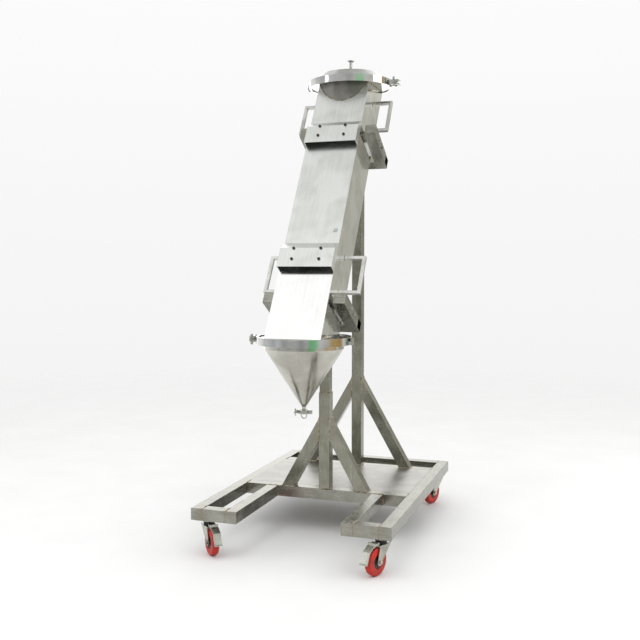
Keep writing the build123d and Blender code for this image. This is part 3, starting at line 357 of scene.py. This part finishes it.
# %% Finish table
# Each piece has its finish and the width of its edge in millimetres.
tube_edge = 2.6
finish_of = {
    "outer_rails": (rails_y, tube_edge), "inner_rails": (rails_y, tube_edge),
    "toe_bars": (rails_x, tube_edge), "front_cross_rail": (rails_x, tube_edge),
    "mid_cross_rail": (rails_x, tube_edge), "rear_cross_rail": (rails_x, tube_edge),
    "deck_plate": (deck_sheet, 0.6), "front_post": (posts, tube_edge),
    "front_post_extension": (posts, tube_edge), "rear_post": (posts, tube_edge),
    "post_braces": (braces, tube_edge), "outriggers": (leaning, tube_edge),
    "cross_tubes": (rails_x, tube_edge), "support_arms": (leaning, tube_edge),
    "tube_end_caps": (rails_x, 1.2), "chute_channel": (chute_sheet, 1.2),
    "upper_front_panel": (panel_sheet, 1.0), "middle_front_panel": (panel_sheet, 1.0),
    "lower_front_panel": (bright_panel, 1.0), "joint_hoods": (panel_sheet, 1.2),
    "hood_screws": (oxide, 0.5), "tag_plate": (tag_face, 0.4), "handle_frames": (frame_bar, 1.5),
    "mounting_pads": (frame_bar, 0.6), "mounting_bolts": (fitting_mirror, 0.6),
    "top_flange": (ring_mirror, 0.8), "top_neck": (neck_sheet, 0.6),
    "bottom_flange": (ring_mirror, 0.8), "seal_rings": (silicone, 0.4),
    "lid": (lid_mirror, 1.0), "hopper_cone": (cone_sheet, 0.8),
    "outlet_cap": (fitting_mirror, 0.4), "outlet_clamp": (fitting_mirror, 0.8),
    "outlet_bolts": (fitting_mirror, 0.4), "outlet_wing_nut": (fitting_mirror, 0.5),
    "caster_plates": (pressed_fork, 0.8), "swivel_seals": (seal_rubber, 0.8),
    "clamp_rear_halves": (ring_mirror, 1.0), "clamp_front_halves": (ring_mirror, 1.0),
    "clamp_pins": (fitting_mirror, 0.4), "top_clamp_bolt": (fitting_mirror, 0.5),
    "bottom_clamp_bolt": (fitting_mirror, 0.5), "top_clamp_nut": (fitting_mirror, 0.6),
    "bottom_clamp_nut": (fitting_mirror, 0.6),
}
for corner in ("front_left", "front_right", "rear_left", "rear_right"):
    finish_of[corner + "_fork"] = (pressed_fork, 0.8)
    finish_of[corner + "_brake_pedal"] = (pressed_fork, 0.7)
    finish_of[corner + "_wheel_tread"] = (tread_red, 0.0)
    finish_of[corner + "_wheel_core"] = (core_nylon, 1.0)
print("finishes listed", len(finish_of), "missing", sorted(set(nodes) - set(finish_of)))

# %% Dress the CAD pieces
for name, (finish, edge) in finish_of.items():
    piece = nodes[name]
    piece.data.materials.clear()
    piece.data.materials.append(finish)
    piece.data.polygons.foreach_set("use_smooth", [True] * len(piece.data.polygons))
    joined = piece.modifiers.new("join_split_vertices", "WELD")
    joined.merge_threshold = 0.00002
    flat = piece.modifiers.new("one_face_per_flat", "DECIMATE")
    flat.decimate_type = "DISSOLVE"
    flat.angle_limit = radians(0.6)
    if edge:
        soft = piece.modifiers.new("worn_edge", "BEVEL")
        soft.width = edge / 1000
        soft.segments = 2
        soft.limit_method = "ANGLE"
        soft.angle_limit = radians(28)
    even = piece.modifiers.new("flat_faces_shade_flat", "WEIGHTED_NORMAL")
    even.keep_sharp = True
    even.weight = 80
print("dressed", len(finish_of), "pieces")

# %% [markdown]
# ## Weld beads
# A bead is a long sausage of ripples that lies in the corner between two pieces. It is
# made as a mesh tube along the joint, thicker and thinner with each ripple. A curve with a
# round profile could do it too, but it needs a thickness at every point all the same. Real
# ripples are about 1.5 mm apart; they are drawn 5 mm apart so that they show. Beads of one
# kind share one mesh, so each piece is made from a list of paths.

# %% Bead maker
def bead_mesh(name, paths, radius, body, ripple=0.005, sides=8):
    """Tubes with rippled thickness along every path of points, as one piece on a body."""
    off_every_path = Vector((0.31, 0.52, 0.79))
    verts, faces = [], []
    for path in paths:
        stations = []
        for start, end in zip(path, path[1:]):
            start, end = Vector(start), Vector(end)
            count = max(2, int((end - start).length / (ripple / 4)))
            stations += [start.lerp(end, i / count) for i in range(count)]
        stations.append(Vector(path[-1]))
        first = len(verts)
        for i, point in enumerate(stations):
            ahead = stations[min(i + 1, len(stations) - 1)] - stations[max(i - 1, 0)]
            ahead.normalize()
            side = ahead.cross(off_every_path).normalized()
            top = ahead.cross(side).normalized()
            close = min(i, len(stations) - 1 - i)
            size = radius * (0.86 + 0.14 * abs(cos(i * pi / 4))) * min(1.0, 0.35 + close * 0.25)
            for k in range(sides):
                turn = 2 * pi * k / sides
                verts.append(point + size * (cos(turn) * side + sin(turn) * top))
        for i in range(len(stations) - 1):
            for k in range(sides):
                a = first + i * sides + k
                b = first + i * sides + (k + 1) % sides
                faces.append((a, b, b + sides, a + sides))
        last = first + (len(stations) - 1) * sides
        faces.append(tuple(first + k for k in reversed(range(sides))))
        faces.append(tuple(last + k for k in range(sides)))
    mesh = bpy.data.meshes.new(name)
    mesh.from_pydata([v[:] for v in verts], [], faces)
    mesh.polygons.foreach_set("use_smooth", [True] * len(mesh.polygons))
    mesh.materials.append(weld_metal)
    piece = bpy.data.objects.new(name, mesh)
    bpy.context.collection.objects.link(piece)
    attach(piece, body)
    print(name, "beads", len(paths), "faces", len(faces))
    return piece


def ring_path(x, y, z, half_x, half_y):
    """Closed rectangle of points around an upright tube, at height z."""
    signs = ((-1, -1), (1, -1), (1, 1), (-1, 1), (-1, -1))
    return [(x + a * half_x, y + b * half_y, z) for a, b in signs]


# %% Beads of the base
rail_low_z = rail_top - tube
bead_end_gap = 0.004
base_beads = []
front_edge, front_back = front_cross[0].y, front_cross[1].y
mid_edge, mid_back = mid_cross[0].y, mid_cross[1].y
rear_edge = half_length - tube
for side in (-1, 1):
    for seam in (half_width - tube, inner_high.x):
        x = side * seam
        base_beads.append([(x, -half_length, rail_low_z), (x, -half_length, rail_top),
                           (x, tube - half_length, rail_top)])
    rail_side = side * (half_width - tube)
    for y in (front_edge, front_back, mid_edge, mid_back, rear_edge):
        base_beads.append([(rail_side, y, rail_low_z + bead_end_gap), (rail_side, y, rail_top)])
    for near, far in ((front_edge, front_back), (mid_edge, mid_back), (rear_edge, half_length)):
        base_beads.append([(rail_side, near, rail_top), (rail_side, far, rail_top)])
    leg_edges = (side * inner_high.x, side * (inner_high.x - tube))
    for x in leg_edges:
        base_beads.append([(x, front_edge, rail_low_z), (x, front_edge, rail_top)])
    base_beads.append([(x, front_edge, rail_top) for x in reversed(leg_edges)])
bead_mesh("base_weld_beads", base_beads, 0.0022, "stand")

# %% Beads of the posts and braces
# A brace meets the rail between foot_in and foot_out from the middle, and the post between
# head_in and head_out above the rail.
half_tube = tube / 2
half_slim_tube = 0.0235
front_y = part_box("front_post")[0].y + half_tube
rear_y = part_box("rear_post")[0].y + half_tube
front_brace = {"foot_in": 0.1468, "foot_out": 0.204, "head_in": 0.2183, "head_out": front_brace_rise}
rear_brace = {"foot_in": 0.2194, "foot_out": 0.277, "head_in": 0.3410, "head_out": 0.442}
post_beads = []
for y, brace in ((front_y, front_brace), (rear_y, rear_brace)):
    post_beads.append(ring_path(0, y, rail_top, half_tube, half_tube))
    for side in (-1, 1):
        centre = side * (brace["foot_out"] + brace["foot_in"]) / 2
        half_foot = (brace["foot_out"] - brace["foot_in"]) / 2
        post_beads.append(ring_path(centre, y, rail_top, half_foot, half_tube))
        x = side * half_tube
        low, high = rail_top + brace["head_in"], rail_top + brace["head_out"]
        front, back = y - half_tube, y + half_tube
        post_beads.append([(x, front, low), (x, front, high), (x, back, high), (x, back, low),
                           (x, front, low)])
post_beads.append(ring_path(0, front_y, splice, half_slim_tube, half_slim_tube))
bead_mesh("post_weld_beads", post_beads, 0.0032, "stand")

# %% [markdown]
# ## Beads on the chute
# The neck at the top meets the leaning front along a half-moon curve, and the chute's
# walls run into the two rings. Each of those joints has a bead. The curve is worked out
# from the neck's radius and the chute's lean, since a circle and a slanted plane meet there.
# The handle frames are welded on at their ends.

# %% Places on the chute
flange_low, flange_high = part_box("top_flange")
top_axis_y = (flange_low.y + flange_high.y) / 2
neck_z = flange_low.z
foot_low, foot_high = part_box("bottom_flange")
foot_axis_y = (foot_low.y + foot_high.y) / 2
foot_z = foot_high.z
foot_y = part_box("lower_front_panel")[0].y
half_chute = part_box("chute_channel")[1].x
neck_radius = 0.160
print("chute from z", round(foot_z, 3), "to", round(neck_z, 3))

# %% Beads on the chute
def front_at(z):
    """Y of the chute's front face at a height."""
    return foot_y + (z - foot_z) * tan(chute_lean)


moon = []
half_steps = 24
for i in range(2 * half_steps + 1):
    x = half_chute * (i / half_steps - 1)
    y = top_axis_y - (neck_radius ** 2 - x * x) ** 0.5
    moon.append((x, y, foot_z + (y - foot_y) / tan(chute_lean)))
duct_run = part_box("chute_channel")[1].y - front_at(neck_z)
front, back = front_at(neck_z), front_at(neck_z) + duct_run
around_top = [(-half_chute, front, neck_z), (-half_chute, back, neck_z), (half_chute, back, neck_z),
              (half_chute, front, neck_z)]
around_foot = ring_path(0, foot_y + duct_run / 2, foot_z, half_chute, duct_run / 2)
chute_weld = bead_mesh("chute_weld_beads", [moon, around_top, around_foot], 0.0030, "stand")

# %% Beads of the handle frames
# Each frame's start and length are measured up the chute, and its depth behind the front.
bar = 0.015
handle_depth = 0.105
handle_runs = {"lower": (0.271, 0.184), "upper": (1.130, 0.176)}
handle_beads = []
for start, length in handle_runs.values():
    for along in (start + bar / 2, start + length - bar / 2):
        centre = Vector((0, foot_y, foot_z)) + along * up_chute - handle_depth * out_of_chute
        for side in (-1, 1):
            around_bar = []
            for a, b in ((-1, -1), (1, -1), (1, 1), (-1, 1), (-1, -1)):
                point = centre + a * bar / 2 * up_chute + b * bar / 2 * out_of_chute
                around_bar.append((side * half_chute, point.y, point.z))
            handle_beads.append(around_bar)
handle_weld = bead_mesh("handle_weld_beads", handle_beads, 0.0016, "stand", 0.003)

# %% [markdown]
# ## Seam of the cone
# The cone is rolled from one sheet and closed by a single ground weld down its side, which
# reads as a bright line. It is the same bead, only 1 mm thick and without close ripples,
# and it has the cone's own polish.

# %% Cone seam
cone_rim_radius = 0.1668
cone_tip_radius = 0.0100
cone_height = 0.240
skirt_height = 0.020
skirt_drop = 0.032
skirt_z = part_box("hopper_cone")[1].z - skirt_drop
seam_turn = radians(-78)
seam_out = Vector((cos(seam_turn), sin(seam_turn), 0))
seam_top = Vector((0, foot_axis_y, skirt_z)) + cone_rim_radius * seam_out
seam_foot = Vector((0, foot_axis_y, skirt_z - cone_height)) + cone_tip_radius * seam_out
seam_start = seam_top + Vector((0, 0, skirt_height))
seam = bead_mesh("cone_seam_weld", [[seam_start, seam_top, seam_foot]], 0.0011, "stand", 0.02)
seam.data.materials.clear()
seam.data.materials.append(cone_sheet)

# %% [markdown]
# ## Studio
# The object stands on a plain pale floor in soft light. Polished metal shows only what it
# mirrors, so most of the light is a painted room in the world, not a few lamps. A colour
# ramp around the horizon gives the mirrors something to show: pale walls, a green panel at
# the right front, an amber door at the right, a darker corner at the right rear and a bright
# wall at the left rear. Above it is a bright ceiling. The camera sees a plain white room
# instead, through the light path's camera ray, and the floor fades out far away, so that no
# horizon line cuts the background.

# %% Floor
floor_radius = 9.0
floor_corners = 96
turns = [2 * pi * i / floor_corners for i in range(floor_corners)]
rim = [(floor_radius * cos(turn), floor_radius * sin(turn), 0.0) for turn in turns]
floor_mesh = bpy.data.meshes.new("studio_floor")
floor_mesh.from_pydata(rim, [], [tuple(range(floor_corners))])
floor = bpy.data.objects.new("studio_floor", floor_mesh)
bpy.context.collection.objects.link(floor)
floor_paint, tree = finish_named("pale_floor_paint")
spot = node(tree, "ShaderNodeTexCoord").outputs["Object"]
speckle = node(tree, "ShaderNodeTexNoise", {"Scale": 3.0, "Detail": 4.0}, {"Vector": spot})
paint = ramp(tree, speckle.outputs["Fac"], [(0.3, "#e2e2e2"), (0.7, "#e6e6e6")])
away = node(tree, "ShaderNodeVectorMath", {"operation": "LENGTH"}, {0: spot}).outputs["Value"]
fade = node(tree, "ShaderNodeMapRange",
            {"From Min": 2.2, "From Max": 6.5, "To Min": 1.0, "To Max": 0.0},
            {0: away}).outputs[0]
shader = node(tree, "ShaderNodeBsdfPrincipled", {"Roughness": 0.85, "Specular IOR Level": 0.2},
              {"Base Color": paint, "Alpha": fade})
node(tree, "ShaderNodeOutputMaterial", None, {0: shader.outputs[0]})
floor_mesh.materials.append(floor_paint)
print("floor", floor.name)

# %% World light
world = bpy.data.worlds.new("soft_studio")
bpy.context.scene.world = world
world.use_nodes = True
tree = world.node_tree
tree.nodes.clear()
look = node(tree, "ShaderNodeTexCoord").outputs["Generated"]
aim = node(tree, "ShaderNodeSeparateXYZ", None, {0: look}).outputs
turn = node(tree, "ShaderNodeMath", {"operation": "ARCTAN2"}, {0: aim["Y"], 1: aim["X"]}).outputs[0]
round_room = node(tree, "ShaderNodeMapRange", {"From Min": -pi, "From Max": pi},
                  {0: turn}).outputs[0]
walls = [(0.02, "#d2d3d4"), (0.09, "#aeb2b8"), (0.13, "#c9cbcd"), (0.17, "#b4b6ba"),
         (0.24, "#c6c6c6"), (0.285, "#a4a6ab"), (0.325, "#bcbfbd")]
green_panel = [(0.345, "#86c797"), (0.385, "#86c797")]
amber_door = [(0.41, "#cfcfcf"), (0.47, "#c3c0bb"), (0.50, "#b59a63"), (0.58, "#ab8b50"),
              (0.61, "#dcdcd9")]
dark_corner = [(0.645, "#95948d"), (0.70, "#86857e"), (0.755, "#92918a")]
bright_wall = [(0.80, "#ffffff"), (0.96, "#ffffff"), (1.0, "#d6d7d8")]
room = ramp(tree, round_room, walls + green_panel + amber_door + dark_corner + bright_wall)
rise = node(tree, "ShaderNodeMapRange", {"From Min": 0.0, "From Max": 1.0}, {0: aim["Z"]}).outputs[0]
ceiling = ramp(tree, rise, [(0.0, "#cfcfcd"), (0.35, "#e2e2e1"), (0.70, "#ffffff"),
                            (0.82, "#ffffff"), (0.875, "#d6d6d5"), (1.0, "#cdcdcc")])
above = node(tree, "ShaderNodeMapRange", {"From Min": 0.16, "From Max": 0.34},
             {0: aim["Z"]}).outputs[0]
sky = node(tree, "ShaderNodeMix", {"data_type": "RGBA"}, {0: above, 6: room, 7: ceiling}).outputs[2]
brighter_behind = node(tree, "ShaderNodeMapRange",
                       {"From Min": 0.55, "From Max": 0.85, "To Min": 1.2, "To Max": 2.0},
                       {0: aim["Y"]}).outputs[0]
light_sky = node(tree, "ShaderNodeBackground", None, {"Color": sky, "Strength": brighter_behind})
print("painted room", world.name)

# %% Plain room for the camera
lift = node(tree, "ShaderNodeMapRange", {"From Min": -0.5, "From Max": 0.35}, {0: aim["Z"]}).outputs[0]
seen = ramp(tree, lift, [(0.0, "#eeeeee"), (0.6, "#f6f6f6"), (1.0, "#fdfdfd")])
seen_sky = node(tree, "ShaderNodeBackground", {"Strength": 1.0}, {"Color": seen})
camera_ray = node(tree, "ShaderNodeLightPath").outputs["Is Camera Ray"]
mixed = node(tree, "ShaderNodeMixShader", None,
             {0: camera_ray, 1: light_sky.outputs[0], 2: seen_sky.outputs[0]})
node(tree, "ShaderNodeOutputWorld", None, {0: mixed.outputs[0]})
print("background", [round(c, 2) for c in linear("#fdfdfd")[:3]])

# %% Soft lights
def soft_light(name, place, target, size, power):
    """White area light of a width and height, at a place and aimed at a target."""
    data = bpy.data.lights.new(name, "AREA")
    data.shape = "RECTANGLE"
    data.size, data.size_y = size
    data.energy = power
    lamp = bpy.data.objects.new(name, data)
    bpy.context.collection.objects.link(lamp)
    lamp.location = place
    towards = Vector(target) - Vector(place)
    lamp.rotation_euler = towards.to_track_quat("-Z", "Y").to_euler()
    return lamp


overhead = soft_light("overhead_soft", (0.2, -1.4, 4.6), (0, -0.2, 1.0), (3.4, 3.0), 55)
overhead.visible_glossy = False
right = soft_light("right_soft", (4.2, 0.6, 2.0), (0, 0, 1.0), (2.0, 2.6), 40)
left = soft_light("left_soft", (-3.6, -2.6, 2.4), (0, 0, 1.1), (0.8, 2.4), 14)
print("lights", [(lamp.name, lamp.data.energy) for lamp in (overhead, right, left)])

# %% [markdown]
# ## Camera
# The camera stands 4 m away at the stand's front right, 1.2 m up, and is tipped down by
# nearly four degrees. From there the posts stay almost upright and the perspective is mild.
# A 48 mm lens on a 36 mm wide sensor fills the square with the whole stand.

# %% Camera
camera_data = bpy.data.cameras.new("studio_camera")
camera_data.lens = 48.3
camera_data.sensor_width = 36.0
camera = bpy.data.objects.new("studio_camera", camera_data)
bpy.context.collection.objects.link(camera)
camera.location = (1.2145, -3.7358, 1.2076)
camera.rotation_euler = (radians(86.3), 0, radians(18.9))
bpy.context.scene.camera = camera
bpy.context.scene.view_settings.view_transform = "Standard"
print("camera at", tuple(round(v, 2) for v in camera.location))
